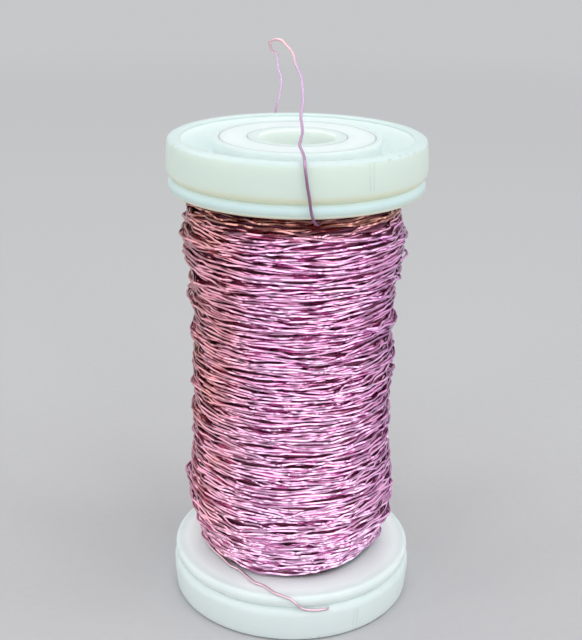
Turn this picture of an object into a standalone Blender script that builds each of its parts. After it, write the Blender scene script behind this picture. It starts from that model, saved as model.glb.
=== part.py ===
"""A small plastic spool of crinkled craft wire, built from its separate pieces.

The spool stands on its lower flange, with its axis along +Z and the origin at the centre of its base.
The side that the wire's lead and tail show on is -Y. All lengths are in metres.
"""

import math

import bpy
import numpy as np

# Spool and flanges. Heights on a flange are measured from its outer face.
SPOOL_HEIGHT = 0.0578
FLANGE_RADIUS = 0.0150
RIM_WALL = 0.0017
RIM_FLAT_WIDTH = 0.00055
RIM_INNER_ROUND = 0.00025
RIM_EDGE_DROP = 0.00027
RIM_EDGE_SETBACK = 0.00023
RIM_BEAD_HEIGHT = 0.00015
WEB_THICKNESS = 0.00205

# The band round a flange leans out a little from the rim, and then curves in to a groove, which holds the
# wire's end. A lip curves out of the groove again, on the flange's inner side.
BAND_HEIGHT = 0.00345
BAND_LEAN = 0.00019
BAND_CURVE_HEIGHT = 0.0010
GROOVE_DEPTH = 0.00065
LIP_CURVE_HEIGHT = 0.0010
LIP_SETBACK = 0.00019
LIP_EDGE_ROUND = 0.0006

# Spindle tube, which the spool turns on.
SPINDLE_BORE_RADIUS = 0.0044
SPINDLE_TUBE_WALL = 0.0013
BORE_CHAMFER = 0.0002

# Hub plates, which close the barrel's ends and hold the spindle tube.
HUB_RING_WIDTH = 0.00305
HUB_PLATE_THICKNESS = 0.0015
HUB_SKIRT_LENGTH = 0.0060
HUB_BOSS_LENGTH = 0.0048
HUB_WALL = 0.0009

# Barrel. The flanges are pushed onto its thinner ends, as far as a shoulder, and the hub plates into them.
BARREL_END_WALL = 0.00073
SHOULDER_STEP = 0.00032
LEDGE_STEP = 0.0002

# What one piece keeps to the next, and how far the inner pieces' ends lie behind the rims.
FIT_GAP = 0.0001
END_INSET = 0.00015

# Wound wire: its depth on the barrel, and how it swells near both ends and draws in at the flanges.
WINDING_DEPTH = 0.0021
FOOT_ROUND_HEIGHT = 0.0080
TOP_ROUND_HEIGHT = 0.0045
TOP_DEPTH = 0.0008
LOWER_BULGE = 0.0007
LOWER_BULGE_TO_FLANGE = 0.0076
UPPER_BULGE = 0.0009
UPPER_BULGE_TO_FLANGE = 0.0057
BULGE_SPREAD = 0.0042

# The winding's outer layer, whose turns stand for about four strands each, and the plain core under it.
TURN_DIAMETER = 0.00135
TURN_SPACING = 0.0005
TURN_CLEARANCE = 0.0003
TURN_START_ANGLE = 135.0
TURN_END_ANGLE = -60.0
TURN_WANDER = 0.00015
WAVES_PER_TURN = 2.1
CORE_TO_LOWER_FLANGE = 0.0032
CORE_TO_UPPER_FLANGE = 0.0016
CORE_LEAST_WALL = 0.0001

# Free wire at the two ends of the winding.
WIRE_DIAMETER = 0.00032
WIRE_POINT_SPACING = 0.0012

# Route of the lead: out of the front of the winding's last turn, over the upper flange and back in behind it.
LEAD_ROUTE = [
    (0.00415, -0.01062, 0.05080),
    (0.00367, -0.01097, 0.05081),
    (0.00308, -0.01152, 0.05083),
    (0.00264, -0.01236, 0.05087),
    (0.00242, -0.01321, 0.05094),
    (0.00224, -0.01391, 0.05108),
    (0.00194, -0.01481, 0.05149),
    (0.00169, -0.01521, 0.05214),
    (0.00150, -0.01522, 0.05299),
    (0.00136, -0.01529, 0.05399),
    (0.00114, -0.01531, 0.05519),
    (0.00098, -0.01531, 0.05639),
    (0.00086, -0.01524, 0.05734),
    (0.00078, -0.01480, 0.05798),
    (0.00064, -0.01400, 0.05852),
    (0.00025, -0.01250, 0.05921),
    (0.00054, -0.01090, 0.06019),
    (0.00036, -0.00920, 0.06142),
    (0.00054, -0.00725, 0.06295),
    (0.00037, -0.00470, 0.06495),
    (-0.00028, -0.00305, 0.06615),
    (-0.00072, -0.00160, 0.06729),
    (-0.00176, -0.00015, 0.06814),
    (-0.00260, 0.00080, 0.06825),
    (-0.00331, 0.00165, 0.06781),
    (-0.00305, 0.00294, 0.06685),
    (-0.00244, 0.00441, 0.06607),
    (-0.00243, 0.00638, 0.06461),
    (-0.00204, 0.00864, 0.06295),
    (-0.00213, 0.01080, 0.06125),
    (-0.00251, 0.01337, 0.05922),
    (-0.00272, 0.01465, 0.05835),
    (-0.00284, 0.01508, 0.05740),
    (-0.00289, 0.01512, 0.05630),
    (-0.00274, 0.01514, 0.05500),
    (-0.00286, 0.01511, 0.05380),
    (-0.00292, 0.01500, 0.05270),
    (-0.00290, 0.01470, 0.05185),
    (-0.00280, 0.01390, 0.05140),
    (-0.00260, 0.01285, 0.05122),
    (-0.00242, 0.01185, 0.05115),
]

# Route of the tail: from the winding's first turn along its foot, over the lower flange and into the groove.
TAIL_ROUTE = [
    (-0.00907, 0.00676, 0.00660),
    (-0.00954, 0.00639, 0.00653),
    (-0.01018, 0.00550, 0.00639),
    (-0.01075, 0.00420, 0.00632),
    (-0.01120, 0.00270, 0.00631),
    (-0.01138, 0.00120, 0.00631),
    (-0.01131, -0.00020, 0.00631),
    (-0.01095, -0.00180, 0.00631),
    (-0.01041, -0.00371, 0.00631),
    (-0.00961, -0.00508, 0.00631),
    (-0.00847, -0.00675, 0.00631),
    (-0.00737, -0.00842, 0.00631),
    (-0.00628, -0.00930, 0.00631),
    (-0.00521, -0.01092, 0.00631),
    (-0.00430, -0.01210, 0.00631),
    (-0.00321, -0.01276, 0.00631),
    (-0.00194, -0.01406, 0.00626),
    (-0.00100, -0.01455, 0.00617),
    (0.00000, -0.01487, 0.00590),
    (0.00065, -0.01500, 0.00540),
    (0.00115, -0.01481, 0.00477),
    (0.00191, -0.01468, 0.00438),
    (0.00315, -0.01458, 0.00427),
    (0.00412, -0.01434, 0.00426),
    (0.00451, -0.01442, 0.00452),
]

# How finely round shapes are divided.
AROUND = 48
ROUND_STEPS = 4
POINTS_PER_TURN = 24
CORE_RINGS = 18
SHARP_ANGLE = math.radians(30)

# Sizes that follow from those above.
GROOVE_HEIGHT = BAND_HEIGHT + BAND_CURVE_HEIGHT
GROOVE_RADIUS = FLANGE_RADIUS - GROOVE_DEPTH
FLANGE_THICKNESS = GROOVE_HEIGHT + LIP_CURVE_HEIGHT + LIP_EDGE_ROUND
RIM_INNER_RADIUS = FLANGE_RADIUS - RIM_WALL
LIP_RADIUS = FLANGE_RADIUS - LIP_SETBACK
SPINDLE_TUBE_RADIUS = SPINDLE_BORE_RADIUS + SPINDLE_TUBE_WALL
HUB_INNER_RADIUS = SPINDLE_TUBE_RADIUS + FIT_GAP
HUB_OUTER_RADIUS = HUB_INNER_RADIUS + HUB_RING_WIDTH
COUNTERBORE_RADIUS = HUB_OUTER_RADIUS + FIT_GAP
BARREL_BORE_RADIUS = COUNTERBORE_RADIUS - LEDGE_STEP
SPIGOT_RADIUS = COUNTERBORE_RADIUS + BARREL_END_WALL
BARREL_RADIUS = SPIGOT_RADIUS + SHOULDER_STEP
TURN_RADIUS = TURN_DIAMETER / 2
WINDING_LOW = FLANGE_THICKNESS
WINDING_HIGH = SPOOL_HEIGHT - FLANGE_THICKNESS
CORE_BORE_RADIUS = BARREL_RADIUS + FIT_GAP
CORE_LOW = WINDING_LOW + CORE_TO_LOWER_FLANGE
CORE_HIGH = WINDING_HIGH - CORE_TO_UPPER_FLANGE


def clear_scene():
    for obj in list(bpy.data.objects):
        bpy.data.objects.remove(obj, do_unlink=True)


def make_collection(name):
    collection = bpy.data.collections.new(name)
    bpy.context.scene.collection.children.link(collection)
    return collection


def make_material(name, color, roughness, metallic, subsurface=0.0):
    made = bpy.data.materials.new(name)
    made.use_nodes = True
    shader = made.node_tree.nodes["Principled BSDF"]
    shader.inputs["Base Color"].default_value = (*color, 1.0)
    shader.inputs["Roughness"].default_value = roughness
    shader.inputs["Metallic"].default_value = metallic
    shader.inputs["Subsurface Weight"].default_value = subsurface
    return made


def arc(centre, radius, start, end, steps=ROUND_STEPS):
    """Points (r, z) on an arc, with its angles in degrees from +r towards +z."""
    angles = np.radians(np.linspace(start, end, steps + 1))
    return [(centre[0] + radius * math.cos(a), centre[1] + radius * math.sin(a)) for a in angles]


def bowed(start, end, steps=ROUND_STEPS):
    """Points on an arc from one point to another, which leaves the first one along the second axis."""
    across = end[0] - start[0]
    along = end[1] - start[1]
    radius = (across**2 + along**2) / (2 * abs(across))
    points = []
    for angle in np.linspace(0, math.asin(abs(along) / radius), steps + 1):
        first = start[0] + math.copysign(radius * (1 - math.cos(angle)), across)
        second = start[1] + math.copysign(radius * math.sin(angle), along)
        points.append((first, second))
    return points


def turned(name, profile, material, collection, upside_down=False):
    """A solid of revolution. Its closed profile of (r, z) points runs down its outer side."""
    outline = bpy.data.meshes.new(name + "_profile")
    vertices = [(r, 0.0, z) for r, z in profile]
    edges = [(i, (i + 1) % len(profile)) for i in range(len(profile))]
    outline.from_pydata(vertices, edges, [])
    obj = bpy.data.objects.new(name, outline)
    collection.objects.link(obj)
    screw = obj.modifiers.new("Turn", "SCREW")
    screw.axis = "Z"
    screw.angle = math.tau
    screw.steps = AROUND
    screw.render_steps = AROUND
    screw.use_merge_vertices = True
    screw.merge_threshold = 0.00001
    bpy.context.view_layer.update()
    graph = bpy.context.evaluated_depsgraph_get()
    solid = bpy.data.meshes.new_from_object(obj.evaluated_get(graph))
    solid.name = name
    solid.shade_smooth()
    solid.set_sharp_from_angle(angle=SHARP_ANGLE)
    solid.materials.clear()
    solid.materials.append(material)
    obj.modifiers.clear()
    obj.data = solid
    bpy.data.meshes.remove(outline)
    if upside_down:
        obj.rotation_euler = (math.pi, 0.0, 0.0)
        obj.location = (0.0, 0.0, SPOOL_HEIGHT)
    return obj


def tube(name, points, diameter, bevel_resolution, material, collection):
    """A round tube with closed ends along a line of points."""
    curve = bpy.data.curves.new(name, "CURVE")
    curve.dimensions = "3D"
    curve.bevel_depth = diameter / 2
    curve.bevel_resolution = bevel_resolution
    curve.use_fill_caps = True
    spline = curve.splines.new("POLY")
    spline.points.add(len(points) - 1)
    for spot, point in zip(spline.points, points):
        spot.co = (*point, 1.0)
        spot.radius = 1.0
    spline.use_smooth = True
    curve.materials.append(material)
    obj = bpy.data.objects.new(name, curve)
    collection.objects.link(obj)
    return obj


def smooth_line(route, spacing):
    """Points at a steady spacing along a smooth curve through the route's own points."""
    route = np.array(route)
    padded = np.vstack([2 * route[0] - route[1], route, 2 * route[-1] - route[-2]])
    fine = []
    for before, start, end, after in zip(padded, padded[1:], padded[2:], padded[3:]):
        for t in np.linspace(0, 1, 16, endpoint=False):
            fine.append(
                0.5
                * (
                    2 * start
                    + (end - before) * t
                    + (2 * before - 5 * start + 4 * end - after) * t**2
                    + (3 * start - before - 3 * end + after) * t**3
                )
            )
    fine = np.array(fine + [route[-1]])
    along = np.concatenate([[0], np.cumsum(np.linalg.norm(np.diff(fine, axis=0), axis=1))])
    count = round(along[-1] / spacing) + 1
    wanted = np.linspace(0, along[-1], count)
    return np.stack([np.interp(wanted, along, fine[:, axis]) for axis in range(3)], axis=1)


def length_of(points):
    return float(np.linalg.norm(np.diff(points, axis=0), axis=1).sum())


def flange_profile():
    """A cupped flange: a flat web with a deep rim, and a groove and a lip round its inner edge."""
    bore = SPIGOT_RADIUS + FIT_GAP
    web_low = FLANGE_THICKNESS - WEB_THICKNESS
    lip_root = (LIP_RADIUS, FLANGE_THICKNESS - LIP_EDGE_ROUND)
    groove = (GROOVE_RADIUS, GROOVE_HEIGHT)
    flat_start = RIM_INNER_RADIUS + RIM_INNER_ROUND
    flat_end = flat_start + RIM_FLAT_WIDTH
    rim_edge = (RIM_EDGE_DROP, FLANGE_RADIUS - RIM_EDGE_SETBACK)
    return [
        (bore, FLANGE_THICKNESS),
        *arc((lip_root[0] - LIP_EDGE_ROUND, lip_root[1]), LIP_EDGE_ROUND, 90, 0),
        *bowed(lip_root, groove)[1:],
        *bowed((FLANGE_RADIUS, BAND_HEIGHT), groove)[-2::-1],
        (FLANGE_RADIUS - BAND_LEAN, RIM_EDGE_DROP + RIM_BEAD_HEIGHT),
        *[(r, z) for z, r in bowed((0.0, flat_end), rim_edge)[::-1]],
        *arc((flat_start, RIM_INNER_ROUND), RIM_INNER_ROUND, -90, -180, 2),
        (RIM_INNER_RADIUS, web_low),
        (bore, web_low),
    ]


def barrel_profile():
    """A tube with a shoulder for each flange on its outside and a ledge for each hub plate inside."""
    low = END_INSET
    high = SPOOL_HEIGHT - END_INSET
    shoulder_low = FLANGE_THICKNESS + FIT_GAP
    shoulder_high = SPOOL_HEIGHT - FLANGE_THICKNESS - FIT_GAP
    ledge_low = low + HUB_SKIRT_LENGTH + FIT_GAP
    ledge_high = high - HUB_SKIRT_LENGTH - FIT_GAP
    return [
        (SPIGOT_RADIUS, high),
        (SPIGOT_RADIUS, shoulder_high),
        (BARREL_RADIUS, shoulder_high),
        (BARREL_RADIUS, shoulder_low),
        (SPIGOT_RADIUS, shoulder_low),
        (SPIGOT_RADIUS, low),
        (COUNTERBORE_RADIUS, low),
        (COUNTERBORE_RADIUS, ledge_low),
        (BARREL_BORE_RADIUS, ledge_low),
        (BARREL_BORE_RADIUS, ledge_high),
        (COUNTERBORE_RADIUS, ledge_high),
        (COUNTERBORE_RADIUS, high),
    ]


def hub_profile():
    """A ring-shaped plate with a skirt that lines the barrel and a boss round the spindle tube."""
    low = END_INSET
    plate = low + HUB_PLATE_THICKNESS
    boss_end = low + HUB_BOSS_LENGTH
    skirt_end = low + HUB_SKIRT_LENGTH
    wall = min(HUB_WALL, HUB_RING_WIDTH / 3)
    return [
        (HUB_OUTER_RADIUS, skirt_end),
        (HUB_OUTER_RADIUS, low),
        (HUB_INNER_RADIUS, low),
        (HUB_INNER_RADIUS, boss_end),
        (HUB_INNER_RADIUS + wall, boss_end),
        (HUB_INNER_RADIUS + wall, plate),
        (HUB_OUTER_RADIUS - wall, plate),
        (HUB_OUTER_RADIUS - wall, skirt_end),
    ]


def spindle_tube_profile():
    low = END_INSET
    high = SPOOL_HEIGHT - END_INSET
    return [
        (SPINDLE_TUBE_RADIUS, high),
        (SPINDLE_TUBE_RADIUS, low),
        (SPINDLE_BORE_RADIUS + BORE_CHAMFER, low),
        (SPINDLE_BORE_RADIUS, low + BORE_CHAMFER),
        (SPINDLE_BORE_RADIUS, high - BORE_CHAMFER),
        (SPINDLE_BORE_RADIUS + BORE_CHAMFER, high),
    ]


def bulge(height):
    """A swelling's share of its full depth, at this height above or below its middle."""
    return math.exp(-((height / BULGE_SPREAD) ** 2))


def rounded_in(distance, height):
    """How far the winding has filled out, from 0 at a flange to 1 at this height from it."""
    share = min(max(distance / height, 0.0), 1.0)
    return math.sqrt(1 - (1 - share) ** 2)


def winding_radius(z):
    """The outer radius of the wound wire at a height."""
    above = z - WINDING_LOW
    below = WINDING_HIGH - z
    depth = WINDING_DEPTH
    depth += LOWER_BULGE * bulge(above - LOWER_BULGE_TO_FLANGE)
    depth += UPPER_BULGE * bulge(below - UPPER_BULGE_TO_FLANGE)
    depth *= rounded_in(above, FOOT_ROUND_HEIGHT)
    depth = TOP_DEPTH + (depth - TOP_DEPTH) * rounded_in(below, TOP_ROUND_HEIGHT)
    return BARREL_RADIUS + depth


def core_radius(z):
    under_turns = winding_radius(z) - TURN_DIAMETER - TURN_CLEARANCE
    return max(under_turns, CORE_BORE_RADIUS + CORE_LEAST_WALL)


def turn_centre_radius(z):
    """The radius that a turn's middle runs at. It rests on the core, or past the core's ends on the barrel."""
    under = core_radius(z) if CORE_LOW < z < CORE_HIGH else BARREL_RADIUS
    return max(winding_radius(z) - TURN_RADIUS, under + TURN_CLEARANCE + TURN_RADIUS)


def straight_end(inner, outer):
    """The end of a run of one turn diameter, straight on and level from the last two points."""
    along = outer - inner
    along[2] = 0.0
    return outer + along / np.linalg.norm(along) * TURN_DIAMETER


def winding_line():
    """The middle of the outer layer: one unbroken line of turns that climbs clockwise, seen from above."""
    low = WINDING_LOW + TURN_CLEARANCE + TURN_RADIUS
    high = WINDING_HIGH - TURN_CLEARANCE - TURN_RADIUS
    part_turn = (TURN_START_ANGLE - TURN_END_ANGLE) / 360
    whole_turns = int((high - low) / (TURN_DIAMETER + TURN_SPACING) - part_turn)
    turns = whole_turns + part_turn
    points = []
    for share in np.linspace(0, 1, round(turns * POINTS_PER_TURN) + 1):
        turn = turns * share
        angle = math.radians(TURN_START_ANGLE) - math.tau * turn
        fade = min(1.0, turn, turns - turn)
        wander = TURN_WANDER * fade * math.sin(math.tau * WAVES_PER_TURN * turn)
        z = low + (high - low) * share + wander
        radius = turn_centre_radius(z)
        points.append(np.array([radius * math.cos(angle), radius * math.sin(angle), z]))
    first = straight_end(points[1], points[0])
    last = straight_end(points[-2], points[-1])
    return np.array([first, *points, last])


def least_gap(points, diameter, apart):
    """The least gap between stretches of the tube that are at least so many points apart."""
    gaps = []
    for i in range(len(points) - apart):
        gaps.append(np.linalg.norm(points[i + apart :] - points[i], axis=1).min())
    return min(gaps) - diameter


def core_profile():
    """The wire under the outer layer, as a plain solid round the barrel."""
    rings = np.linspace(CORE_HIGH, CORE_LOW, CORE_RINGS)
    outside = [(core_radius(z), z) for z in rings]
    return [*outside, (CORE_BORE_RADIUS, CORE_LOW), (CORE_BORE_RADIUS, CORE_HIGH)]


def build():
    clear_scene()
    spool = make_collection("craft_wire_spool")
    shell = make_material("Natural white plastic", (0.80, 0.88, 0.84), 0.38, 0.0, 0.1)
    inner = make_material("Ivory plastic", (0.83, 0.86, 0.77), 0.42, 0.0, 0.1)
    wire = make_material("Pink enamelled wire", (0.74, 0.32, 0.52), 0.26, 1.0)
    deep = make_material("Wire in shade", (0.30, 0.10, 0.18), 0.45, 0.8)

    turned("lower_flange", flange_profile(), shell, spool)
    turned("upper_flange", flange_profile(), shell, spool, upside_down=True)
    turned("barrel", barrel_profile(), inner, spool)
    turned("lower_hub_plate", hub_profile(), shell, spool)
    turned("upper_hub_plate", hub_profile(), shell, spool, upside_down=True)
    turned("spindle_tube", spindle_tube_profile(), inner, spool)
    turned("winding_core", core_profile(), deep, spool)

    turns = winding_line()
    tube("winding_outer_layer", turns, TURN_DIAMETER, 1, wire, spool)
    gap = least_gap(turns, TURN_DIAMETER, POINTS_PER_TURN // 2)
    print(f"least gap between turns: {gap * 1000:.2f} mm")

    lead = smooth_line(LEAD_ROUTE, WIRE_POINT_SPACING)
    tail = smooth_line(TAIL_ROUTE, WIRE_POINT_SPACING)
    tube("wire_lead", lead, WIRE_DIAMETER, 2, wire, spool)
    tube("wire_tail", tail, WIRE_DIAMETER, 2, wire, spool)
    print(f"lead {length_of(lead) * 1000:.1f} mm, tail {length_of(tail) * 1000:.1f} mm")


build()
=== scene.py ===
"""The looks of a small plastic spool of crinkled pink craft wire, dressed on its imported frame.

The spool stands on the floor with its axis along +Z, and its front is -Y. All lengths are in metres.
"""

import math

import bpy
import numpy as np
from mathutils import Matrix, Vector


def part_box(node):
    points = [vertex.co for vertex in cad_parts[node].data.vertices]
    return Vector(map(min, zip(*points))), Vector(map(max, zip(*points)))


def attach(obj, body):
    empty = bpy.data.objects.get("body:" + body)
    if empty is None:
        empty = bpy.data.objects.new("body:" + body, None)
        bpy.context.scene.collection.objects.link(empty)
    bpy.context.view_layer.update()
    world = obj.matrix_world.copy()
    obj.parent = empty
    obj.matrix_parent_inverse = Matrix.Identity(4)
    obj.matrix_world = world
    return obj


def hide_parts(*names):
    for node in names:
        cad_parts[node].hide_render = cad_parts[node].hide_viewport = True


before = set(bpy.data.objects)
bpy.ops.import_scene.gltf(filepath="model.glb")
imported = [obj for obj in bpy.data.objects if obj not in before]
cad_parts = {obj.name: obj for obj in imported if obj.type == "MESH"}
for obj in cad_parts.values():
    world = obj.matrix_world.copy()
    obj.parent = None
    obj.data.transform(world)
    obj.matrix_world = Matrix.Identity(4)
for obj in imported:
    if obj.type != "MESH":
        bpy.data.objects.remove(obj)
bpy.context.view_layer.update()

# Spool body, as the frame has it. Heights on a flange are measured from its outer face.
SPOOL_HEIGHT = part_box("upper_flange")[1].z
FLANGE_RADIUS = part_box("lower_flange")[1].x
FLANGE_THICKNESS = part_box("lower_flange")[1].z
RIM_WALL = 0.0017
RIM_FLAT_WIDTH = 0.00055
RIM_INNER_ROUND = 0.00025
RIM_EDGE_DROP = 0.00027
RIM_EDGE_SETBACK = 0.00023
RIM_BEAD_HEIGHT = 0.00015
WEB_THICKNESS = 0.00205
WEB_FILLET = 0.0005
BAND_HEIGHT = 0.00345
BAND_LEAN = 0.00019
BAND_CURVE_HEIGHT = 0.001
GROOVE_DEPTH = 0.00065
LIP_SETBACK = 0.00019
LIP_EDGE_ROUND = 0.0006
EDGE_ROUND = 0.00008
BEAD_ROUND = 0.00003

SPINDLE_BORE_RADIUS = 0.0044
SPINDLE_TUBE_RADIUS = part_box("spindle_tube")[1].x
BORE_CHAMFER = 0.0002
FIT_GAP = 0.0001
END_INSET = 0.00015

# The hub plates are drawn a little larger than the frame's, so that their seams are as fine as the photo's.
SEAM = 0.00004
HUB_INNER_RADIUS = SPINDLE_TUBE_RADIUS + SEAM
HUB_OUTER_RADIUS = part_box("lower_hub_plate")[1].x + FIT_GAP - SEAM
HUB_PLATE_THICKNESS = 0.0015
HUB_SKIRT_LENGTH = 0.006
HUB_BOSS_LENGTH = 0.0048
HUB_WALL = 0.0009
BARREL_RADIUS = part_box("barrel")[1].x
SPIGOT_RADIUS = 0.00968
COUNTERBORE_RADIUS = HUB_OUTER_RADIUS + SEAM
LEDGE_STEP = 0.0002

# The mould's parting line, two fine marks side by side down each flange's band, and again on the far side.
# Azimuths are in degrees from +X, so the front is at -90.
PARTING_AZIMUTH = -58.3
PARTING_HALF_WIDTH = 0.00024
PARTING_MARK = 0.00004
PARTING_DEPTH = 0.00004

# Where the rims' outer edges are scuffed, as azimuths and half widths in degrees, and how far the scuffs
# reach along the axis and in from the side.
WORN_PLACES = ((-77.0, 7.0), (-41.0, 14.0), (48.0, 10.0), (127.0, 7.0), (-158.0, 12.0))
WORN_HEIGHT = 0.0004
WORN_DEPTH = 0.0006

# Wound wire. Its outline is the frame's: drawn in at the flanges and swollen near both ends. Its foot rises
# beside one azimuth, and the whole winding leans to the left, as in the photo.
WIRE_RADIUS = 0.00016
WIRE_DIAMETER = 2 * WIRE_RADIUS
WINDING_LOW = FLANGE_THICKNESS
WINDING_HIGH = SPOOL_HEIGHT - FLANGE_THICKNESS
WINDING_DEPTH = 0.0021
FOOT_ROUND_HEIGHT = 0.008
TOP_ROUND_HEIGHT = 0.0045
TOP_DEPTH = 0.0008
LOWER_BULGE = 0.0007
LOWER_BULGE_TO_FLANGE = 0.0076
UPPER_BULGE = 0.0009
UPPER_BULGE_TO_FLANGE = 0.0057
BULGE_SPREAD = 0.0042
FOOT_RISE = 0.0005
FOOT_RISE_AZIMUTH = -38.0
FOOT_RISE_SPREAD = 20.0
FOOT_RISE_FADE = 0.003
WINDING_LEAN = 0.00022

# The wire is wound in layers, of which 0 is the outermost, on a pile that starts at a depth under the
# outline. The outer layer starts and ends at the azimuths where the tail and the lead meet it.
WINDING_SEED = 7
LAYERS = 4
LAYER_DEPTH = 0.0003
PILE_DEPTH = 0.00108
TURN_PITCH = 0.00056
TURN_START_ANGLE = 143.3
TURN_END_ANGLE = -68.7

# The pile is a grid of columns round the axis and rows up it. The wire is laid on it in blocks of columns,
# each smoothed together with the columns just before and after it, so that the wire bridges the dips.
COLUMNS = 512
ROW_HEIGHT = 0.00004
BLOCK = 256
REACH = 24
BRIDGE_SPREAD = 3
SINK = 0.00005

# How far the wire strays up and down: in waves that neighbouring turns share, with fewer than so many round
# the axis, and in waves of its own.
WANDER_WAVES = 16
SHARED_WANDER = 0.00013
SHARED_WAVES_AROUND = 5
SHARED_WAVE_LENGTHS = (0.0018, 0.007)
OWN_WANDER = 0.00011
OWN_WAVES_PER_TURN = (0.8, 6.0)

# The wire's kinks, how far each sways and lifts it, and how long its bend is to either side. Here and there
# a kink has sprung out in a bow.
KINK_SPACING = 0.00138
KINK_SPACING_SHARES = (0.55, 1.45)
KINK_SWAY = 0.00005
KINK_LIFT = 0.000085
CORNER = 0.0003
BOW_SPACING = 0.03
BOW_HALF_LENGTHS = (0.0012, 0.0028)
BOW_LIFT = 0.00042

# The outer layer's first turn is loose at the front. Its middle and spread are in turns.
LOOSE_TURN_LIFT = 0.00045
LOOSE_TURN_MIDDLE = 0.68
LOOSE_TURN_SPREAD = 0.08

# A strand has flat sides, which roll from kink to kink by up to so many radians. Its tone drifts along it.
# It carries painted shade, more layer by layer inwards, and where a side faces outward by less than
# FREE_FACING.
STRAND_SIDES = 5
STRAND_ROLL = 0.42
FACET_TURN = math.radians(-30.0)
TONE_DRIFT = 0.8
TONE_WAVES_PER_TURN = (0.1, 3.0)
POINTS_PER_TURN = 118
PAINTED_SHADE_PER_LAYER = 0.4
FREE_FACING = 0.85

# Free wire. The routes are the frame's own.
LEAD_ROUTE = [
    (0.00415, -0.01062, 0.05080),
    (0.00367, -0.01097, 0.05081),
    (0.00308, -0.01152, 0.05083),
    (0.00264, -0.01236, 0.05087),
    (0.00242, -0.01321, 0.05094),
    (0.00224, -0.01391, 0.05108),
    (0.00194, -0.01481, 0.05149),
    (0.00169, -0.01521, 0.05214),
    (0.00150, -0.01522, 0.05299),
    (0.00136, -0.01529, 0.05399),
    (0.00114, -0.01531, 0.05519),
    (0.00098, -0.01531, 0.05639),
    (0.00086, -0.01524, 0.05734),
    (0.00078, -0.01480, 0.05798),
    (0.00064, -0.01400, 0.05852),
    (0.00025, -0.01250, 0.05921),
    (0.00054, -0.01090, 0.06019),
    (0.00036, -0.00920, 0.06142),
    (0.00054, -0.00725, 0.06295),
    (0.00037, -0.00470, 0.06495),
    (-0.00028, -0.00305, 0.06615),
    (-0.00072, -0.00160, 0.06729),
    (-0.00176, -0.00015, 0.06814),
    (-0.00260, 0.00080, 0.06825),
    (-0.00331, 0.00165, 0.06781),
    (-0.00305, 0.00294, 0.06685),
    (-0.00244, 0.00441, 0.06607),
    (-0.00243, 0.00638, 0.06461),
    (-0.00204, 0.00864, 0.06295),
    (-0.00213, 0.01080, 0.06125),
    (-0.00251, 0.01337, 0.05922),
    (-0.00272, 0.01465, 0.05835),
    (-0.00284, 0.01508, 0.05740),
    (-0.00289, 0.01512, 0.05630),
    (-0.00274, 0.01514, 0.05500),
    (-0.00286, 0.01511, 0.05380),
    (-0.00292, 0.01500, 0.05270),
    (-0.00290, 0.01470, 0.05185),
    (-0.00280, 0.01390, 0.05140),
    (-0.00260, 0.01285, 0.05122),
    (-0.00242, 0.01185, 0.05115),
]
TAIL_ROUTE = [
    (-0.00907, 0.00676, 0.00660),
    (-0.00954, 0.00639, 0.00653),
    (-0.01018, 0.00550, 0.00639),
    (-0.01075, 0.00420, 0.00632),
    (-0.01120, 0.00270, 0.00631),
    (-0.01138, 0.00120, 0.00631),
    (-0.01131, -0.00020, 0.00631),
    (-0.01095, -0.00180, 0.00631),
    (-0.01041, -0.00371, 0.00631),
    (-0.00961, -0.00508, 0.00631),
    (-0.00847, -0.00675, 0.00631),
    (-0.00737, -0.00842, 0.00631),
    (-0.00628, -0.00930, 0.00631),
    (-0.00521, -0.01092, 0.00631),
    (-0.00430, -0.01210, 0.00631),
    (-0.00321, -0.01276, 0.00631),
    (-0.00194, -0.01406, 0.00626),
    (-0.00100, -0.01455, 0.00617),
    (0.00000, -0.01487, 0.00590),
    (0.00065, -0.01500, 0.00540),
    (0.00115, -0.01481, 0.00477),
    (0.00191, -0.01468, 0.00438),
    (0.00315, -0.01458, 0.00427),
    (0.00412, -0.01434, 0.00426),
    (0.00451, -0.01442, 0.00452),
]
# A free end has points FREE_STEP apart, and shares of the kinks' sway and lift that fade in over FREE_END.
BEND_SOFTNESS = 0.32
BEND_STEPS = 24
FREE_STEP = 0.00022
FREE_SWAY = 0.45
FREE_LIFT = 0.35
FREE_END = 0.001

# Colours of the plastic at each tint. The tints stand for the flanges' inside, rim, band, groove, lip and
# lip's edge, and for the tubes' walls, edges, ends and bore. On the flanges they are painted light and shade:
# the rim, band and lip's edge take a darker painted shade, the groove a tan painted shade and the lip a
# bluish painted highlight. The lower flange is whiter all over, as painted light.
WHITE_SHADE_TINTS = (
    (0.85, 0.918, 0.912),
    (0.535, 0.645, 0.64),
    (0.655, 0.75, 0.69),
    (0.765, 0.785, 0.61),
    (0.585, 0.745, 0.765),
    (0.53, 0.655, 0.615),
)
IVORY_TINTS = ((0.735, 0.85, 0.83), (0.50, 0.60, 0.58), (0.61, 0.72, 0.695), (0.79, 0.88, 0.83))
TINT_STEP = 0.5
TINTS = (0.0, 0.5, 1.0, 1.5, 2.0, 2.5)
LOWER_LIT_TINTS = (0.0, 0.20, 0.20, 0.27, 0.12, 0.20)
INSIDE, RIM, BAND, GROOVE, LIP, LIP_EDGE = TINTS
RIM_SIDE = RIM + 0.1
BAND_FADE = 0.05
GROOVE_SIDE = GROOVE - 0.1
LIP_FOOT = LIP - 0.2
WALL, EDGE, END, BORE = TINTS[:4]
HUB_FACE = 0.2
EDGE_LINE = 0.00016

# The grey of scuffs and parting marks, and how strongly each shows.
MARK_COLOR = (0.36, 0.42, 0.41)
PARTING_SHADE = 0.24
WORN_SHADE = 0.6
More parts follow.
